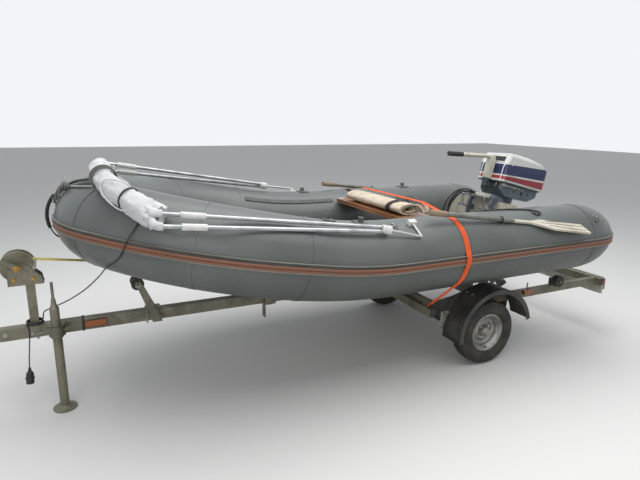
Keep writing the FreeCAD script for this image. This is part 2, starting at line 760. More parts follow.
lever_ends = [Part.makeSphere(10, V(-70, middle_y + side * 52, SCREW_W)) for side in (-1, 1)]
pin_w = JAW_DROP - 10
pin_u = rear_face + REAR_JAW - 8
tilt_pin = rod(V(pin_u, -CLAMP_OUTER, pin_w), V(pin_u, CLAMP_OUTER, pin_w), 6)
clamp_parts = [tilt_tube, tilt_pin]
for solid in (arm, screw, pad, lever, *lever_ends):
    clamp_parts += pair(solid)
clamp = join(clamp_parts)
save("motor_clamp", [lean(clamp)])

# Swivel bracket: hangs on the tilt tube and carries the steering tube behind the transom
boss = rod(V(0, -CLAMP_INNER + MOVING_GAP, 0), V(0, CLAMP_INNER - MOVING_GAP, 0), TILT_BOSS_R)
arm_side = prism([V(-6, -46, 4), V(10, -46, 22), V(SWIVEL_AFT, -46, SWIVEL_TOP), V(SWIVEL_AFT, -46, -70),
                  V(rear_face + REAR_JAW + 6, -46, -60), V(rear_face + REAR_JAW + 2, -46, -12),
                  V(rear_face, -46, TRANSOM_TOP + 10), V(24, -46, TRANSOM_TOP + 10)], V(0, 92, 0))
steer_tube = rod(V(SWIVEL_AFT, 0, SWIVEL_BOTTOM), V(SWIVEL_AFT, 0, SWIVEL_TOP), SWIVEL_R)
swivel = join([boss, arm_side, steer_tube])
swivel = swivel.cut([rod(V(0, -200, 0), V(0, 200, 0), TILT_TUBE_R + JOINT_GAP),
                     rod(V(SWIVEL_AFT, 0, -500), V(SWIVEL_AFT, 0, 200), KINGPIN_R + JOINT_GAP)])
save("swivel_bracket", [lean(swivel)])


# Motor leg with its kingpin, yokes and the shaft housing behind the steering tube

def lens(front, rear, half, up):
    """A streamlined section: two arcs from the leading to the trailing edge."""
    nose_point, tail_point = V(front, 0, up), V(rear, 0, up)
    fat = front + (rear - front) * 0.45
    return Part.Wire([Part.Arc(nose_point, V(fat, half, up), tail_point).toShape(),
                      Part.Arc(tail_point, V(fat, -half, up), nose_point).toShape()])


kingpin = rod(V(SWIVEL_AFT, 0, SWIVEL_BOTTOM - 50), V(SWIVEL_AFT, 0, PAN_BOTTOM), KINGPIN_R)
yoke_low = SWIVEL_BOTTOM - JOINT_GAP - 42
lower_yoke = box((SWIVEL_AFT, -24, yoke_low), (LEG_FRONT + 40, 24, yoke_low + 42))
lower_eye = rod(V(SWIVEL_AFT, 0, yoke_low), V(SWIVEL_AFT, 0, yoke_low + 42), SWIVEL_R)
leg_top = PAN_BOTTOM
housing = Part.makeLoft([lens(LEG_FRONT, LEG_REAR, LEG_HALF, leg_top),
                         lens(LEG_FRONT - 6, LEG_REAR - 30, LEG_HALF * 0.8, PLATE_W)], True, True)
upper_gap = SWIVEL_TOP + JOINT_GAP
upper_yoke = rod(V(SWIVEL_AFT, 0, upper_gap), V(SWIVEL_AFT, 0, PAN_BOTTOM), SWIVEL_R)
bridge = box((SWIVEL_AFT, -26, upper_gap), (LEG_FRONT + 50, 26, PAN_BOTTOM))
leg = join([kingpin, lower_yoke, lower_eye, housing, upper_yoke, bridge])
save("motor_leg", [lean(leg)])

# Gearcase: splash plate, strut, bullet, skeg
plate = box((LEG_FRONT - 70, -85, PLATE_W - 8), (LEG_REAR + 90, 85, PLATE_W))
plate = plate.makeFillet(40, [edge for edge in plate.Edges if abs(edge.tangentAt(0).z) > 0.9])
strut = Part.makeLoft([lens(LEG_FRONT - 40, LEG_REAR + 10, LEG_HALF * 0.8, PLATE_W),
                       lens(GEAR_NOSE + 40, LEG_REAR, GEAR_R * 0.7, GEAR_W)], True, True)
bullet = turned(((0, 0), (14, GEAR_R * 0.55), (50, GEAR_R * 0.92), (110, GEAR_R), (200, GEAR_R),
                 (GEAR_TAIL - GEAR_NOSE, GEAR_R * 0.78), (GEAR_TAIL - GEAR_NOSE, 0)),
                V(GEAR_NOSE, 0, GEAR_W), AFT)
skeg = prism([V(GEAR_NOSE + 70, -5, GEAR_W - 20), V(GEAR_NOSE + 150, -5, SKEG_TIP),
              V(GEAR_NOSE + 205, -5, SKEG_TIP), V(GEAR_NOSE + 235, -5, GEAR_W - 20)], V(0, 10, 0))
gearcase = join([plate, strut, bullet, skeg])
save("gearcase", [lean(gearcase)])

# Propeller: a hub and three blades, each a thin twisted loft trimmed round
PROP_START = GEAR_TAIL + FIT
PROP_HUB_R = 31.0
BLADES = 3


def blade():
    rows = ((PROP_HUB_R * 0.6, 62, 58), (PROP_R * 0.62, 84, 38), (PROP_R + 20, 70, 26))
    sections = []
    for radius, chord, pitch in rows:
        turn = radians(pitch)
        run = V(sin(turn), cos(turn), 0)
        thick = V(-run.y, run.x, 0) * 2.6
        mid = V(PROP_START + PROP_LENGTH * 0.52, 0, radius)
        ends = (mid - run * (chord / 2), mid + run * (chord / 2))
        sections.append(Part.makePolygon([ends[0] - thick, ends[1] - thick, ends[1] + thick,
                                          ends[0] + thick, ends[0] - thick]))
    return Part.makeLoft(sections, True, False)


hub = turned(((0, 0), (0, GEAR_R * 0.78), (20, PROP_HUB_R + 3), (PROP_LENGTH - 12, PROP_HUB_R),
              (PROP_LENGTH, 18), (PROP_LENGTH + 16, 10), (PROP_LENGTH + 16, 0)), V(PROP_START, 0, 0), AFT)
trim = rod(V(PROP_START - 60, 0, 0), V(PROP_START + 200, 0, 0), PROP_R)
blades_round = []
for number in range(BLADES):
    copy = blade().common(trim)
    copy.rotate(V(0, 0, 0), AFT, number * 360 / BLADES)
    blades_round.append(copy)
propeller = join([hub] + blades_round)
propeller.translate(V(0, 0, GEAR_W))
save("propeller", [lean(propeller)])


# Cowl, pan and engine block

def slab_profile(points, half):
    """An outline in the motor's aft and up directions, given a width both ways."""
    return prism([V(aft, -half, up) for aft, up in points], V(0, 2 * half, 0))


def plan_prism(front, rear, half, low, high, nose_round, tail_round):
    """A rounded oblong seen from above, as high as asked."""
    block = box((front, -half, low), (rear, half, high))
    corners = [edge for edge in block.Edges if abs(edge.tangentAt(0).z) > 0.9]
    fronts = [edge for edge in corners if edge.Vertexes[0].Point.x < (front + rear) / 2]
    block = block.makeFillet(nose_round, fronts)
    corners = [edge for edge in block.Edges
               if abs(edge.tangentAt(0).z) > 0.9 and edge.Length > (high - low) * 0.9]
    rears = [edge for edge in corners if edge.Vertexes[0].Point.x > rear - 1 or
             abs(abs(edge.Vertexes[0].Point.y) - half) < 1 and edge.Vertexes[0].Point.x > (front + rear) / 2]
    return block.makeFillet(tail_round, rears)


def front_prism(half, low, high, shoulder, crown, front, rear):
    """The cowl seen from ahead: upright sides, rounded shoulders and a cambered top."""
    left, right = -half, half
    tuck = half * 0.93
    points = [V(front, -tuck, low), V(front, left, low + 60), V(front, left + 6, high - shoulder),
              V(front, left + shoulder, high - crown), V(front, 0, high),
              V(front, right - shoulder, high - crown), V(front, right - 6, high - shoulder),
              V(front, right, low + 60), V(front, tuck, low)]
    edges = [Part.LineSegment(points[0], points[1]).toShape(),
             Part.LineSegment(points[1], points[2]).toShape(),
             Part.Arc(points[2], V(front, left + shoulder * 0.33, high - shoulder * 0.36),
                      points[3]).toShape(),
             Part.Arc(points[3], points[4], points[5]).toShape(),
             Part.Arc(points[5], V(front, right - shoulder * 0.33, high - shoulder * 0.36),
                      points[6]).toShape(),
             Part.LineSegment(points[6], points[7]).toShape(),
             Part.LineSegment(points[7], points[8]).toShape(),
             Part.LineSegment(points[8], points[0]).toShape()]
    return Part.Face(Part.Wire(edges)).extrude(V(rear - front, 0, 0))


def cowl_form(inset):
    low = COWL_SEAM - (1 if inset else 0)
    front, rear = COWL_FRONT + inset, COWL_REAR - inset
    half, high = COWL_HALF - inset, COWL_TOP - inset
    side = slab_profile(((front, low), (front + 4, low + 120), (front + 46, high - 24), (front + 150, high),
                         (rear - 130, high - 34), (rear - 34, high - 92), (rear, low + 52),
                         (rear - 14, low)), half)
    plan = plan_prism(front, rear, half, low, high, 46 - inset, 92 - inset)
    ahead = front_prism(half, low, high, 62, 14, front, rear)
    return side.common(plan).common(ahead)


cowl = cowl_form(0).cut(cowl_form(COWL_WALL))
save("motor_cowl", [lean(max(cowl.Solids, key=lambda solid: solid.Volume))])

pan_side = slab_profile(((COWL_FRONT + 30, COWL_SEAM - FIT), (COWL_FRONT + 34, COWL_SEAM - 60),
                         (COWL_FRONT + 90, PAN_BOTTOM), (PAN_REAR - 110, PAN_BOTTOM),
                         (PAN_REAR - 20, COWL_SEAM - 66), (PAN_REAR + 30, COWL_SEAM - FIT)), PAN_HALF)
pan_plan = plan_prism(COWL_FRONT + 30, PAN_REAR + 30, PAN_HALF, PAN_BOTTOM, COWL_SEAM - FIT, 40, 70)
pan_flange = plan_prism(COWL_FRONT + 2, COWL_REAR - 16, COWL_HALF * 0.93,
                        COWL_SEAM - 10, COWL_SEAM - FIT, 44, 90)
pan = join([pan_side.common(pan_plan), pan_flange])
save("motor_pan", [lean(pan)])

engine = box((COWL_FRONT + 70, -ENGINE_WIDE / 2, COWL_SEAM), (COWL_FRONT + 70 + ENGINE_LONG, ENGINE_WIDE / 2,
                                                           COWL_SEAM + ENGINE_HIGH))
save("engine_block", [lean(engine)])

# Tiller: an arm from the pan's front, its twist grip ahead
TILLER_ROOT = V(-16, 0, 345)
TILLER_END = V(-478, 0, 262)
GRIP_LENGTH = 145.0
aim = TILLER_END - TILLER_ROOT
aim.normalize()
grip_start = TILLER_END - aim * GRIP_LENGTH
bracket = prism([V(COWL_FRONT - 2, -26, COWL_SEAM + 8), V(COWL_FRONT - 46, -26, COWL_SEAM - 44),
                 V(COWL_FRONT - 62, -26, COWL_SEAM + 40), V(TILLER_ROOT.x - 26, -26, TILLER_ROOT.z - 10),
                 V(TILLER_ROOT.x + 22, -26, TILLER_ROOT.z + 6), V(COWL_FRONT - 2, -26, TILLER_ROOT.z - 60)],
                V(0, 52, 0))
foot = box((COWL_FRONT - 46, -26, COWL_SEAM - 60), (COWL_FRONT + 40, 26, COWL_SEAM - 20))
tiller_arm = join([rod(TILLER_ROOT, grip_start, 17), bracket, foot])
tiller_arm = tiller_arm.cut([cowl_form(-FIT), pan])
save("tiller_arm", [lean(max(tiller_arm.Solids, key=lambda solid: solid.Volume))])
save("tiller_grip", [lean(rod(grip_start, TILLER_END, 19))])


# Trailer: coupling, drawbar, cross members and side rails

def hollow_bar(low, high, wall, axis):
    """A square box section from corner to corner, open at both ends along an axis."""
    inset = [0 if number == axis else wall for number in range(3)]
    over = [10 if number == axis else 0 for number in range(3)]
    inner_low = [low[n] + inset[n] - over[n] for n in range(3)]
    inner_high = [high[n] - inset[n] + over[n] for n in range(3)]
    return box(low, high).cut(box(inner_low, inner_high))


drawbar = hollow_bar((DRAWBAR_FRONT, -DRAWBAR_HALF, FRAME_TOP),
                     (DRAWBAR_REAR, DRAWBAR_HALF, DRAWBAR_TOP), WALL, 0)
save("drawbar", [drawbar])

rail_low, rail_high = RAIL_Y - RAIL_WIDE / 2, RAIL_Y + RAIL_WIDE / 2
crosses = []
for station, half in ((FRONT_CROSS, CROSS_HALF), (MID_CROSS, rail_high),
                      (REAR_CROSS, BOARD_HALF + CROSS_BEYOND_BOARD)):
    crosses.append(hollow_bar((station, -half, FRAME_TOP - FRAME_DEEP),
                              (station + CROSS_WIDE, half, FRAME_TOP), WALL, 1))
save("cross_members", crosses)

rails = []
for start, end in ((FRONT_CROSS + CROSS_WIDE, MID_CROSS), (MID_CROSS + CROSS_WIDE, REAR_CROSS)):
    rails.append(hollow_bar((start, rail_low, FRAME_TOP - FRAME_DEEP), (end, rail_high, FRAME_TOP), WALL, 0))
save("side_rails", [copy for rail in rails for copy in pair(rail)])

# Coupling: a pressed hand over the ball, its tail bolted in the drawbar's end
HAND_R = 38.0
HAND_Z = 505.0
SOCKET_DEEP = 34.0
hand_centre = V(COUPLING_NOSE + HAND_R, 0, HAND_Z)
hand = turned(((-30, 0), (-30, HAND_R - 4), (-26, HAND_R), (14, HAND_R), (30, HAND_R * 0.72),
               (38, HAND_R * 0.3), (38, 0)),
              hand_centre, UP)
neck = box((hand_centre.x, -26, HAND_Z - 22), (DRAWBAR_FRONT, 26, HAND_Z + 20))
tail = box((DRAWBAR_FRONT, -DRAWBAR_HALF + WALL + FIT, FRAME_TOP + WALL + FIT),
           (DRAWBAR_FRONT + 90, DRAWBAR_HALF - WALL - FIT, DRAWBAR_TOP - WALL - FIT))
lever_bar = rod(V(hand_centre.x + 20, 0, HAND_Z + 40), V(DRAWBAR_FRONT - 60, 0, HAND_Z + 74), 8)
lever_post = rod(V(hand_centre.x + 20, 0, HAND_Z + 10), V(hand_centre.x + 20, 0, HAND_Z + 46), 9)
lip = box((DRAWBAR_FRONT - 8, -DRAWBAR_HALF, FRAME_TOP), (DRAWBAR_FRONT, DRAWBAR_HALF, DRAWBAR_TOP))
coupling = join([hand, neck, tail, lever_bar, lever_post, lip])
coupling = coupling.cut(rod(V(hand_centre.x, 0, HAND_Z - 31), V(hand_centre.x, 0, HAND_Z - 30 + SOCKET_DEEP),
                            COUPLING_BALL_R))
save("coupling", [coupling])

# Winch post, a square tube up from the drawbar with the winch's side plates on top
post_low = DRAWBAR_TOP
post_high = WINCH_Z - 112
post = hollow_bar((POST_STATION - POST_SIDE / 2, -POST_SIDE / 2, post_low),
                  (POST_STATION + POST_SIDE / 2, POST_SIDE / 2, post_high), WALL, 2)
PLATE_THICK = 5.0
DRUM_GAP = 4.0
side_in = DRUM_HALF + PLATE_THICK + DRUM_GAP
shelf = box((POST_STATION - 110, -side_in - PLATE_THICK, post_high),
            (POST_STATION + 75, side_in + PLATE_THICK, post_high + PLATE_THICK))
cheek_outline = [V(POST_STATION - 108, side_in, post_high), V(POST_STATION + 74, side_in, post_high),
                 V(POST_STATION + 66, side_in, post_high + 46), V(WINCH_STATION + 30, side_in, WINCH_Z + 22),
                 V(WINCH_STATION - 30, side_in, WINCH_Z + 22), V(POST_STATION - 108, side_in, post_high + 60)]
cheek = prism(cheek_outline, V(0, PLATE_THICK, 0))
axle_hole = rod(V(WINCH_STATION, -200, WINCH_Z), V(WINCH_STATION, 200, WINCH_Z), 9 + FIT)
winch_post = join([post, shelf] + pair(cheek)).cut(axle_hole)
save("winch_post", [winch_post])

drum_axle = rod(V(WINCH_STATION, -side_in - 34, WINCH_Z), V(WINCH_STATION, side_in + 12, WINCH_Z), 9)
flange = rod(V(WINCH_STATION, DRUM_HALF, WINCH_Z),
             V(WINCH_STATION, DRUM_HALF + PLATE_THICK, WINCH_Z), DRUM_FLANGE_R)
core = rod(V(WINCH_STATION, -DRUM_HALF - 1, WINCH_Z), V(WINCH_STATION, DRUM_HALF + 1, WINCH_Z), 22)
crank_y = -side_in - 34
crank_arm = prism([V(WINCH_STATION + 14, crank_y, WINCH_Z - 12),
                   V(WINCH_STATION - 128, crank_y, WINCH_Z + 58),
                   V(WINCH_STATION - 118, crank_y, WINCH_Z + 76),
                   V(WINCH_STATION + 16, crank_y, WINCH_Z + 12)],
                  V(0, 7, 0))
crank_grip = rod(V(WINCH_STATION - 118, crank_y, WINCH_Z + 64),
                 V(WINCH_STATION - 118, crank_y - 92, WINCH_Z + 64), 14)
drum = join([drum_axle, core, crank_arm, crank_grip] + pair(flange))
save("winch_drum", [drum])

# Winch strap: webbing wound on the drum, then taut to the towing eye
WEB_HALF = 24.0
WOUND_R = 46.0
wound = pipe(V(WINCH_STATION, -WEB_HALF, WINCH_Z), V(WINCH_STATION, WEB_HALF, WINCH_Z), WOUND_R, 22 + FIT)
eye_point = V(BOW_EYE.x - EYE_R - EYE_ROD - 1, 0, BOW_EYE.z)
run_start = V(WINCH_STATION + 8, 0, WINCH_Z + WOUND_R - 4)
run_line = eye_point - run_start
run_line.normalize()
run_up = V(-run_line.z, 0, run_line.x)
web = prism([run_start + V(0, -WEB_HALF, 0), eye_point + V(0, -WEB_HALF, 0),
             eye_point + V(0, -WEB_HALF, 0) + run_up * 3, run_start + V(0, -WEB_HALF, 0) + run_up * 3],
            V(0, 2 * WEB_HALF, 0))
winch_strap = join([wound, web]).cut(half_bow.fuse(port(half_bow)))
save("winch_strap", [max(winch_strap.Solids, key=lambda solid: solid.Volume)])

# Prop stand: a clamp on the drawbar's port side and the leg that slides in it
CLAMP_Z = 470.0
CLAMP_HIGH = 70.0
clamp_ring = rod(V(0, JACK_Y, CLAMP_Z), V(0, JACK_Y, CLAMP_Z + CLAMP_HIGH), JACK_R + 9)
clamp_plate = box((-45, -DRAWBAR_HALF - 44, CLAMP_Z - 6), (45, -DRAWBAR_HALF, CLAMP_Z + CLAMP_HIGH - 8))
clamp_bore = rod(V(0, JACK_Y, CLAMP_Z - 50), V(0, JACK_Y, CLAMP_Z + 150), JACK_R + JOINT_GAP)
clamp_screw = rod(V(-JACK_R - 76, JACK_Y, CLAMP_Z + 38), V(JACK_R + 40, JACK_Y, CLAMP_Z + 42), 7)
clamp_handle = rod(V(-JACK_R - 72, JACK_Y, CLAMP_Z + 70), V(-JACK_R - 72, JACK_Y, CLAMP_Z + 8), 6)
clamp_knob = rod(V(JACK_R + 24, JACK_Y, CLAMP_Z + 42), V(JACK_R + 46, JACK_Y, CLAMP_Z + 42), 15)
jack_clamp = join([clamp_ring, clamp_plate, clamp_screw, clamp_handle, clamp_knob]).cut(clamp_bore)
save("jack_clamp", [jack_clamp])

jack_tube = rod(V(0, JACK_Y, 8), V(0, JACK_Y, JACK_SHOULDER - 24), JACK_R)
jack_taper = turned(((0, 0), (0, JACK_R), (24, JACK_R * 0.6), (62, JACK_R * 0.42), (62, 0)),
                    V(0, JACK_Y, JACK_SHOULDER - 24), UP)
jack_rod = rod(V(0, JACK_Y, JACK_SHOULDER), V(0, JACK_Y, JACK_TIP), 8)
jack_foot = turned(((0, 0), (0, JACK_FOOT_R), (8, JACK_FOOT_R), (14, JACK_FOOT_R - 20),
                    (26, JACK_R + 4), (26, 0)), V(0, JACK_Y, 0), UP)
save("jack_leg", [join([jack_tube, jack_taper, jack_rod, jack_foot])])

# Keel roller struts and rollers: bow roller on a raked strut, mid roller between two plates
ROLLER_R = 40.0
ROLLER_HALF = 45.0
ROLLER_BORE = 9.0
ROLLER_WAIST = 0.14
KEEL_GAP = 0.5


def keel_roller_centre(station):
    """The centre of a roller that just touches the keel from below."""
    slope = (keel_at(station + 10) - keel_at(station - 10)) / 20
    run = hypot(1, slope)
    return V(station + slope / run * (ROLLER_R + KEEL_GAP) * -1, 0,
             keel_at(station) - (ROLLER_R + KEEL_GAP) / run)


def roller(centre, half):
    waist = ROLLER_R * (1 - ROLLER_WAIST)
    return turned(((-half, ROLLER_BORE + FIT), (-half, ROLLER_R), (-half * 0.4, waist), (half * 0.4, waist),
                   (half, ROLLER_R), (half, ROLLER_BORE + FIT)), centre, STARBOARD)


BOW_ROLLER_STATION = 470.0
MID_ROLLER_STATION = 1350.0
keel_rollers = []
roller_carriers = []
for station, foot_run in ((BOW_ROLLER_STATION, 105.0), (MID_ROLLER_STATION, 0.0)):
    centre = keel_roller_centre(station)
    centre.z += ROLLER_R * ROLLER_WAIST - 2
    keel_rollers.append(roller(centre, ROLLER_HALF))
    cheek_y = ROLLER_HALF + 2
    foot_x = centre.x + foot_run
    cheek = prism([V(centre.x - 17, cheek_y, centre.z + 16), V(centre.x + 17, cheek_y, centre.z + 16),
                   V(foot_x + 30, cheek_y, FRAME_TOP + 12), V(foot_x + 30, cheek_y, FRAME_TOP - 8),
                   V(foot_x - 30, cheek_y, FRAME_TOP - 8), V(foot_x - 30, cheek_y, FRAME_TOP + 12)],
                  V(0, 6, 0))
    pin = rod(V(centre.x, -cheek_y - 12, centre.z), V(centre.x, cheek_y + 12, centre.z), ROLLER_BORE)
    saddle_top = box((foot_x - 30, -cheek_y - 6, DRAWBAR_TOP), (foot_x + 30, cheek_y + 6, DRAWBAR_TOP + 6))
    saddle_low = box((foot_x - 30, -cheek_y - 6, FRAME_TOP - 8), (foot_x + 30, cheek_y + 6, FRAME_TOP))
    solids = pair(cheek) + [pin, saddle_top, saddle_low]
    if foot_run == 0:
        solids.append(box((foot_x - 26, -26, FRAME_TOP - 112), (foot_x - 18, 26, FRAME_TOP)))
    roller_carriers.append(join(solids))
save("keel_rollers", keel_rollers)
save("roller_brackets", roller_carriers)

# Padded keel rest on the drawbar's end and bilge rests on the middle cross member
REST_LONG = 70.0
REST_HIGH = 88.0
rest_station = DRAWBAR_REAR - REST_LONG - 10
keel_rest = box((rest_station, -DRAWBAR_HALF, DRAWBAR_TOP),
                (rest_station + REST_LONG, DRAWBAR_HALF, DRAWBAR_TOP + REST_HIGH))
BILGE_Y = 330.0
BILGE_POST_HALF = 20.0
BILGE_POST_TOP = FRAME_TOP + 162
BILGE_PAD_HALF = 42.0
BILGE_PAD_LONG = 230.0
BILGE_PAD_HIGH = 98.0
pad_start = MID_CROSS + CROSS_WIDE / 2 - BILGE_PAD_LONG / 2
bilge_post = box((MID_CROSS + WALL, BILGE_Y - BILGE_POST_HALF, FRAME_TOP),
                 (MID_CROSS + CROSS_WIDE - WALL, BILGE_Y + BILGE_POST_HALF, BILGE_POST_TOP))
bilge_pad = box((pad_start, BILGE_Y - BILGE_PAD_HALF, BILGE_POST_TOP),
                (pad_start + BILGE_PAD_LONG, BILGE_Y + BILGE_PAD_HALF, BILGE_POST_TOP + BILGE_PAD_HIGH))
hull_room = Part.makeLoft([hull_section(row[0], row[1] - FIT, row[2], row[3] - FIT, row[4], row[5])
                           for row in HULL_TABLE[:3]], True, True)
save("hull_rests", [max(keel_rest.cut(hull_room).Solids, key=lambda solid: solid.Volume)] +
     pair(max(bilge_pad.cut(hull_room).Solids, key=lambda solid: solid.Volume)))
save("bilge_posts", pair(bilge_post))

# Stern rollers beside the rails
STERN_ROLLER_STATION = 3640.0
stern_centre = V(STERN_ROLLER_STATION, rail_high + 28, FRAME_TOP + 42)
stern_roller = turned(((-24, 10 + FIT), (-24, 46), (-14, 47.5), (14, 47.5), (24, 46), (24, 10 + FIT)),
                      stern_centre, STARBOARD)
stern_pin = rod(V(stern_centre.x, rail_low, stern_centre.z), stern_centre + V(0, 34, 0), 10)
stern_lug = box((stern_centre.x - 22, rail_low, FRAME_TOP),
                (stern_centre.x + 22, rail_high, stern_centre.z + 14))
save("stern_rollers", pair(stern_roller))
save("roller_pins", pair(join([stern_pin, stern_lug])))

# Suspension: axle beam, leaf springs with hangers
AXLE_Z = WHEEL_R
axle_half = WHEEL_Y - RIM_WIDE / 2 - 6
axle = box((AXLE_STATION - AXLE_SIDE / 2, -axle_half, AXLE_Z - AXLE_SIDE / 2),
           (AXLE_STATION + AXLE_SIDE / 2, axle_half, AXLE_Z + AXLE_SIDE / 2))
spindle = rod(V(AXLE_STATION, axle_half - 2, AXLE_Z),
              V(AXLE_STATION, WHEEL_Y + RIM_WIDE / 2 - 30, AXLE_Z), 13)
save("axle", [join([axle] + pair(spindle))])

SPRING_SPAN = 310.0
spring_low = AXLE_Z + AXLE_SIDE / 2
leaf_rise = 70.0
leaf_thick = 8.0
spring_y = SPRING_Y - SPRING_WIDE / 2


def leaf(span, drop, thick):
    """One bowed leaf: two arcs, lowest over the axle."""
    z = spring_low + drop
    rise = leaf_rise * (span / SPRING_SPAN) ** 2
    ends = (V(AXLE_STATION - span, spring_y, z + rise), V(AXLE_STATION + span, spring_y, z + rise))
    upper = [V(p.x, p.y, p.z + thick) for p in ends]
    low_mid, high_mid = V(AXLE_STATION, spring_y, z), V(AXLE_STATION, spring_y, z + thick)
    edges = [Part.Arc(ends[0], low_mid, ends[1]).toShape(), Part.LineSegment(ends[1], upper[1]).toShape(),
             Part.Arc(upper[1], high_mid, upper[0]).toShape(), Part.LineSegment(upper[0], ends[0]).toShape()]
    return Part.Face(Part.Wire(edges)).extrude(V(0, SPRING_WIDE, 0))


leaves = [leaf(SPRING_SPAN, leaf_thick * 2, leaf_thick), leaf(SPRING_SPAN * 0.7, leaf_thick, leaf_thick),
          leaf(SPRING_SPAN * 0.42, 0, leaf_thick)]
saddle_block = box((AXLE_STATION - 36, spring_y - 6, spring_low),
                   (AXLE_STATION + 36, spring_y + SPRING_WIDE + 6, spring_low + 44))
eye_z = spring_low + leaf_rise + leaf_thick * 2.5
hangers = []
for station, wide in ((AXLE_STATION - SPRING_SPAN, 30), (AXLE_STATION + SPRING_SPAN, 26)):
    eye_pin = rod(V(station, spring_y - 10, eye_z), V(station, spring_y + SPRING_WIDE + 10, eye_z), 15)
    hanger = prism([V(station - wide, spring_y - 10, FRAME_TOP - FRAME_DEEP),
                    V(station + wide, spring_y - 10, FRAME_TOP - FRAME_DEEP),
                    V(station + 17, spring_y - 10, eye_z - 22), V(station - 17, spring_y - 10, eye_z - 22)],
                   V(0, SPRING_WIDE + 20, 0))
    hangers.append(hanger.fuse(eye_pin))
spring = join(leaves + [saddle_block] + hangers)
save("springs", pair(spring))

# Wheels: dished pressed rims, tyres with rounded shoulders
rim_half = RIM_WIDE / 2
wheel_centre = V(AXLE_STATION, WHEEL_Y, WHEEL_R)
rim = turned(((-rim_half, RIM_R - 8), (-rim_half, RIM_R), (-rim_half + 6, RIM_R),
              (-rim_half + 12, RIM_R - 14), (-14, RIM_R - 18), (-6, RIM_R - 30),
              (rim_half - 34, RIM_R - 30), (rim_half - 12, RIM_R - 14),
              (rim_half - 6, RIM_R), (rim_half, RIM_R), (rim_half, RIM_R - 9), (rim_half - 8, RIM_R - 19),
              (rim_half - 30, RIM_R - 36), (10, RIM_R - 40), (0, RIM_R - 58), (6, 72), (14, 60), (8, HUB_R),
              (rim_half - 16, HUB_R - 8), (rim_half - 8, HUB_R - 18), (rim_half - 8, 0),
              (rim_half - 24, 0), (rim_half - 24, 13 + JOINT_GAP), (-rim_half + 6, 13 + JOINT_GAP),
              (-rim_half + 6, 38), (-12, 46), (-8, 66), (-12, RIM_R - 52), (-14, RIM_R - 40),
              (-20, RIM_R - 26), (-rim_half + 14, RIM_R - 22)),
             wheel_centre, STARBOARD)
STUDS = 4
STUD_CIRCLE_R = 51.0
stud_holes = []
for number in range(STUDS):
    turn = radians(45 + number * 360 / STUDS)
    spot = wheel_centre + V(cos(turn) * STUD_CIRCLE_R, 0, sin(turn) * STUD_CIRCLE_R)
    stud_holes.append(rod(spot - STARBOARD * 40, spot + STARBOARD * 60, 7))
rim = rim.cut(stud_holes)
save("starboard_rim", [rim])
save("port_rim", [port(rim)])

half_tyre = TYRE_WIDE / 2
bead = rim_half - 6
tyre_edges = [Part.LineSegment(V(0, -bead, RIM_R + FIT), V(0, bead, RIM_R + FIT)),
              Part.LineSegment(V(0, bead, RIM_R + FIT), V(0, bead + 12, RIM_R + 14)),
              Part.Arc(V(0, bead + 12, RIM_R + 14), V(0, half_tyre, RIM_R + 48),
                       V(0, half_tyre - 12, WHEEL_R - 16)),
              Part.Arc(V(0, half_tyre - 12, WHEEL_R - 16), V(0, half_tyre - 20, WHEEL_R - 7),
                       V(0, half_tyre - 32, WHEEL_R - 3)),
              Part.LineSegment(V(0, half_tyre - 32, WHEEL_R - 3), V(0, half_tyre - 44, WHEEL_R)),
              Part.LineSegment(V(0, half_tyre - 44, WHEEL_R), V(0, 44 - half_tyre, WHEEL_R)),
              Part.LineSegment(V(0, 44 - half_tyre, WHEEL_R), V(0, 32 - half_tyre, WHEEL_R - 3)),
              Part.Arc(V(0, 32 - half_tyre, WHEEL_R - 3), V(0, 20 - half_tyre, WHEEL_R - 7),
                       V(0, 12 - half_tyre, WHEEL_R - 16)),
              Part.Arc(V(0, 12 - half_tyre, WHEEL_R - 16), V(0, -half_tyre, RIM_R + 48),
                       V(0, -bead - 12, RIM_R + 14)),
              Part.LineSegment(V(0, -bead - 12, RIM_R + 14), V(0, -bead, RIM_R + FIT))]
tyre_section = Part.Face(Part.Wire([edge.toShape() for edge in tyre_edges]))
tyre = tyre_section.revolve(V(0, 0, 0), STARBOARD, 360)
tyre.translate(wheel_centre)
save("starboard_tyre", [tyre])
save("port_tyre", [port(tyre)])

# Mudguards: black moulded arcs set a little aft of the wheel, with a turned-down outer lip
GUARD_AFT = 38.0
guard_start, guard_end = 12.0, 184.0
guard_low = WHEEL_Y - MUDGUARD_WIDE / 2
guard_centre = V(AXLE_STATION + GUARD_AFT, guard_low, WHEEL_R)


def arc_band(inner, thick, start, end, origin, width):
    """A band bent round the wheel, angles from aft over the top to ahead."""
    def spot(radius, angle):
        turn = radians(angle)
        return origin + V(cos(turn) * radius, 0, sin(turn) * radius)

    middle = (start + end) / 2
    edges = [Part.Arc(spot(inner, start), spot(inner, middle), spot(inner, end)).toShape(),
             Part.LineSegment(spot(inner, end), spot(inner + thick, end)).toShape(),
             Part.Arc(spot(inner + thick, end), spot(inner + thick, middle),
                      spot(inner + thick, start)).toShape(),
             Part.LineSegment(spot(inner + thick, start), spot(inner, start)).toShape()]
    return Part.Face(Part.Wire(edges)).extrude(V(0, width, 0))


skin = arc_band(MUDGUARD_R, MUDGUARD_THICK, guard_start, guard_end, guard_centre, MUDGUARD_WIDE)
lip_outer = arc_band(MUDGUARD_R - 26, 26 + MUDGUARD_THICK, guard_start, guard_end,
                     guard_centre + V(0, MUDGUARD_WIDE - MUDGUARD_THICK, 0), MUDGUARD_THICK)
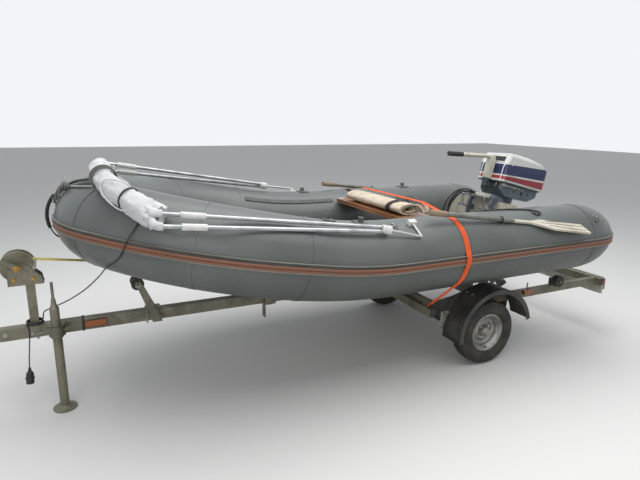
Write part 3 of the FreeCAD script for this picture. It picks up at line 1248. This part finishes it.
# inner wing against the side rail, from the front cross member up into the arc
WING_OUTLINE = ((2401.0, 497.0), (2570.0, 518.0), (2726.0, 556.0), (2800.0, 566.0), (2760.0, 545.0),
                (2640.0, 400.0), (2586.0, 312.0), (2401.0, 410.0))
wing = prism([V(station, rail_high, height) for station, height in WING_OUTLINE], V(0, MUDGUARD_THICK, 0))
mudguard = join([skin, lip_outer, wing])
mudguard = mudguard.cut(box((FRONT_CROSS, -CROSS_HALF, 0), (REAR_CROSS, rail_high, TUBE_Z)))
save("mudguards", pair(max(mudguard.Solids, key=lambda solid: solid.Volume)))

# Light board behind the rear cross member, with lamps, and marker lamps along the sides
BOARD_TOP, BOARD_LOW = 462.0, 322.0
board_front = REAR_CROSS + CROSS_WIDE
BOARD_THICK = 18.0
board = box((board_front, -BOARD_HALF, BOARD_LOW), (board_front + BOARD_THICK, BOARD_HALF, BOARD_TOP))
save("light_board", [board])
lamp = box((board_front + BOARD_THICK, BOARD_HALF - 215, BOARD_LOW + 22),
           (LAMP_TAIL, BOARD_HALF - 15, BOARD_TOP - 22))
lamp = lamp.makeFillet(9, [edge for edge in lamp.Edges if edge.Vertexes[0].Point.x > LAMP_TAIL - 1
                           and edge.Vertexes[-1].Point.x > LAMP_TAIL - 1])
save("tail_lamps", pair(lamp))
MARKER_STATION = 3330.0
marker_post = box((MARKER_STATION - 5, rail_high, FRAME_TOP - 40),
                  (MARKER_STATION + 5, rail_high + 5, FRAME_TOP + 60))
marker = box((MARKER_STATION - 45, rail_high + 5, FRAME_TOP - 30),
             (MARKER_STATION + 45, rail_high + 27, FRAME_TOP + 6))
REFLECTOR_STATION = 215.0
reflector = box((REFLECTOR_STATION - 60, -DRAWBAR_HALF - 8, FRAME_TOP + 18),
                (REFLECTOR_STATION + 60, -DRAWBAR_HALF, FRAME_TOP + 58))
save("amber_lamps", pair(marker) + pair(reflector))
save("marker_posts", pair(marker_post))


# Lighting lead, the rest: through the air behind the prop stand to a hank round the winch
# post's foot, and down to its plug
HANK_INNER, HANK_OUTER, HANK_HIGH = 36.0, 58.0, 28.0
hank_top = DRAWBAR_TOP + FIT + HANK_HIGH
LEAD_AIR_POINTS = (
    V(262, -396, 912), V(226, -341, 861), V(182, -275, 803), V(136, -205, 752), V(92, -140, 708),
    V(48, -86, 672), V(2, -50, 645), V(-34, -30, 627), V(-60, -10, 609), V(-68, 0, 587),
    V(-68, 0, hank_top + FIT),
)
TAIL_POINTS = (
    V(-147, -37, DRAWBAR_TOP), V(-147, -37, 486), V(-152, -44, 436), V(-158, -52, 386), V(-164, -58, 336),
    V(-167, -60, 286),
)


def cord(points, radius):
    """A round cord along straight runs joined by tangent arcs. Returns it with its length."""
    edges = []
    radii = []
    last = points[0]
    for before, here, after in zip(points, points[1:], points[2:]):
        back, on = before - here, after - here
        shorter = min(back.Length, on.Length)
        back.normalize()
        on.normalize()
        half_turn = (pi - acos(back.dot(on))) / 2
        bend = 0.45 * shorter / tan(half_turn)
        radii.append(round(bend, 1))
        first, second = here + back * (0.45 * shorter), here + on * (0.45 * shorter)
        inward = back + on
        inward.normalize()
        middle = here + inward * (bend / cos(half_turn) - bend)
        edges += [Part.LineSegment(last, first).toShape(), Part.Arc(first, middle, second).toShape()]
        last = second
    edges.append(Part.LineSegment(last, points[-1]).toShape())
    line = Part.Wire(edges)
    start = Part.Wire(Part.makeCircle(radius, points[0], points[1] - points[0]))
    solid = line.makePipeShell([start], True, False)
    print("cord radii", radii, "length", round(line.Length), "volume share",
          round(solid.Volume / (pi * radius ** 2 * line.Length), 4))
    return solid


lead = cord(skin_points + list(LEAD_AIR_POINTS), LEAD_R)
tail = cord(list(TAIL_POINTS), LEAD_R)
save("lighting_lead", [lead, tail])

hank_low = V(POST_STATION, 0, DRAWBAR_TOP + FIT)
save("lead_loops", [pipe(hank_low, hank_low + UP * HANK_HIGH, HANK_OUTER, HANK_INNER)])

PLUG_R = 22.0
PLUG_LONG = 100.0
plug_way = TAIL_POINTS[-1] - TAIL_POINTS[-2]
plug_way.normalize()
plug_profile = ((0, 0), (0, LEAD_R + 3), (26, PLUG_R * 0.5), (34, PLUG_R * 0.9), (62, PLUG_R),
                (64, PLUG_R + 3), (72, PLUG_R + 3), (74, PLUG_R), (PLUG_LONG, PLUG_R),
                (PLUG_LONG, PLUG_R - 4), (82, PLUG_R - 4), (82, 0))
save("lead_plug", [turned(plug_profile, TAIL_POINTS[-1] + plug_way * FIT, plug_way)])
